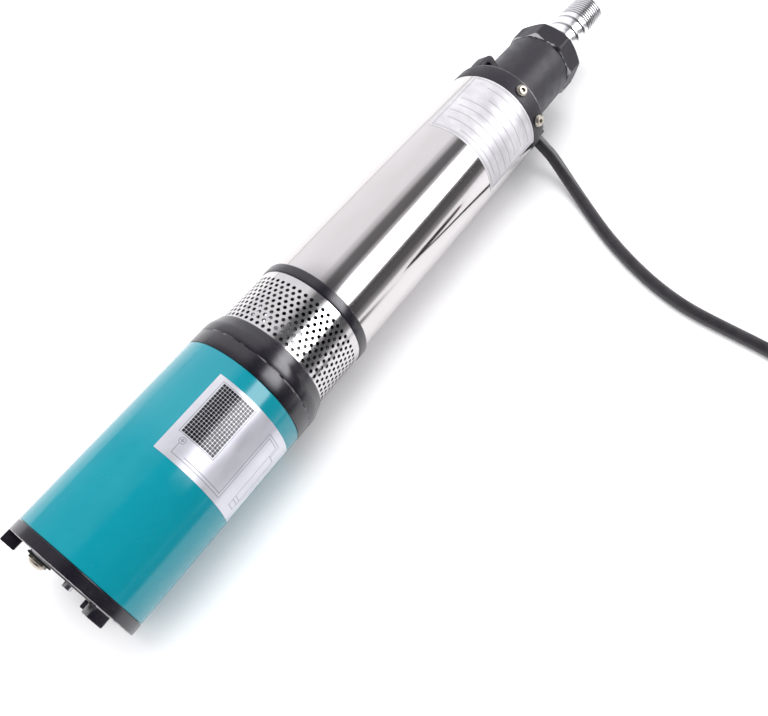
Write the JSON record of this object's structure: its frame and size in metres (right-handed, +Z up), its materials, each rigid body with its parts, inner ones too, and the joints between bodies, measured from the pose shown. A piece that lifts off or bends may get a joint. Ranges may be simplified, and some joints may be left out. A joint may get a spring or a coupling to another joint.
{
  "type": "submersible screw pump",
  "caption": "Submersible helical-screw well pump: teal motor barrel with feet, strainer, steel pump barrel, black head, hose tail and cable.",
  "frame": {"origin": "on the floor plane under the middle of the pump's length, feet to outlet, on the pump's axis", "axes": "+X along the pump from the feet to the outlet; +Z up with the pump lying on its side; the cable leaves towards -Y"},
  "size_m": [0.498, 0.356, 0.076],
  "materials": {
    "teal_paint": "glossy teal enamel",
    "black_moulding": "moulded black plastic with a low gloss",
    "polished_steel": "polished stainless steel",
    "strainer_steel": "perforated stainless sheet",
    "chrome": "bright plated metal",
    "rotor_chrome": "polished and plated screw",
    "screw_steel": "stainless screws",
    "shaft_steel": "ground steel",
    "black_rubber": "black rubber",
    "stator_rubber": "bonded black rubber",
    "ferrite": "dark ferrite",
    "core_steel": "stacked steel laminations",
    "copper": "copper wire and bars",
    "carbon": "carbon brush blocks",
    "holder_plastic": "brown moulded holder",
    "seal_ceramic": "ceramic seal face",
    "cable_rubber": "black round cable jacket",
    "tie_plastic": "black tie",
    "lead_plastic": "coloured lead covering"
  },
  "bodies": {
    "housing": {"end_cap": "black_moulding", "cap_oring": "black_rubber", "plug_washer": "black_rubber", "fill_plug": "chrome", "centre_screw": "screw_steel", "motor_barrel": "teal_paint", "field_magnets": "ferrite", "brushes": "carbon", "brush_holder": "holder_plastic", "bearing_outer_rings": "shaft_steel", "top_cover": "black_moulding", "cover_oring": "black_rubber", "flange_oring": "black_rubber", "intake_flange": "black_moulding", "flange_screws": "screw_steel", "pillar_screws": "screw_steel", "seal_seat": "seal_ceramic", "strainer": "strainer_steel", "barrel_ring": "black_moulding", "stator_rubber": "stator_rubber", "stator_sleeve": "shaft_steel", "pump_barrel": "polished_steel", "head_adapter": "black_moulding", "adapter_oring": "black_rubber", "discharge_head": "black_moulding", "head_screws": "screw_steel", "valve_seat": "black_rubber", "valve_spring": "screw_steel", "valve_retainer": "black_moulding", "outlet_gasket": "black_rubber", "outlet_nut": "black_moulding", "hose_tail": "chrome", "cable_gland": "black_rubber", "riser_wire": "cable_rubber", "cable": "cable_rubber", "cable_coil": "cable_rubber", "coil_tie": "tie_plastic", "cable_leads": "lead_plastic"},
    "motor_rotor": {"motor_shaft": "shaft_steel", "armature_core": "core_steel", "armature_winding": "copper", "commutator": "copper", "bearing_inner_rings": "shaft_steel", "shaft_seal": "black_rubber", "coupling_hub": "shaft_steel", "coupling_cap": "shaft_steel"},
    "drive_rod": {"connecting_rod": "shaft_steel"},
    "pump_rotor": {"screw_rotor": "rotor_chrome", "rotor_cap": "shaft_steel"},
    "valve": {"valve_poppet": "holder_plastic"}
  },
  "joints": [
    {"name": "motor_spin", "type": "hinge", "parent": "housing", "child": "motor_rotor", "pos_m": [0, 0, 0.038], "axis": [1, 0, 0], "continuous": true},
    {"name": "rod_orbit", "type": "hinge", "parent": "housing", "child": "drive_rod", "pos_m": [0, 0, 0.038], "axis": [1, 0, 0], "continuous": true},
    {"name": "screw_spin", "type": "hinge", "parent": "drive_rod", "child": "pump_rotor", "pos_m": [0, 0.0025, 0.038], "axis": [1, 0, 0], "continuous": true},
    {"name": "valve_lift", "type": "slide", "parent": "housing", "child": "valve", "axis": [1, 0, 0], "range_m": [0, 0.007], "stiffness_N_per_m": 200, "springref_m": -0.005, "deforming": ["valve_spring"]}
  ],
  "couplings": [
    {"joint": "rod_orbit", "follows": "motor_spin", "ratio": -1},
    {"joint": "screw_spin", "follows": "motor_spin", "ratio": 2}
  ]
}
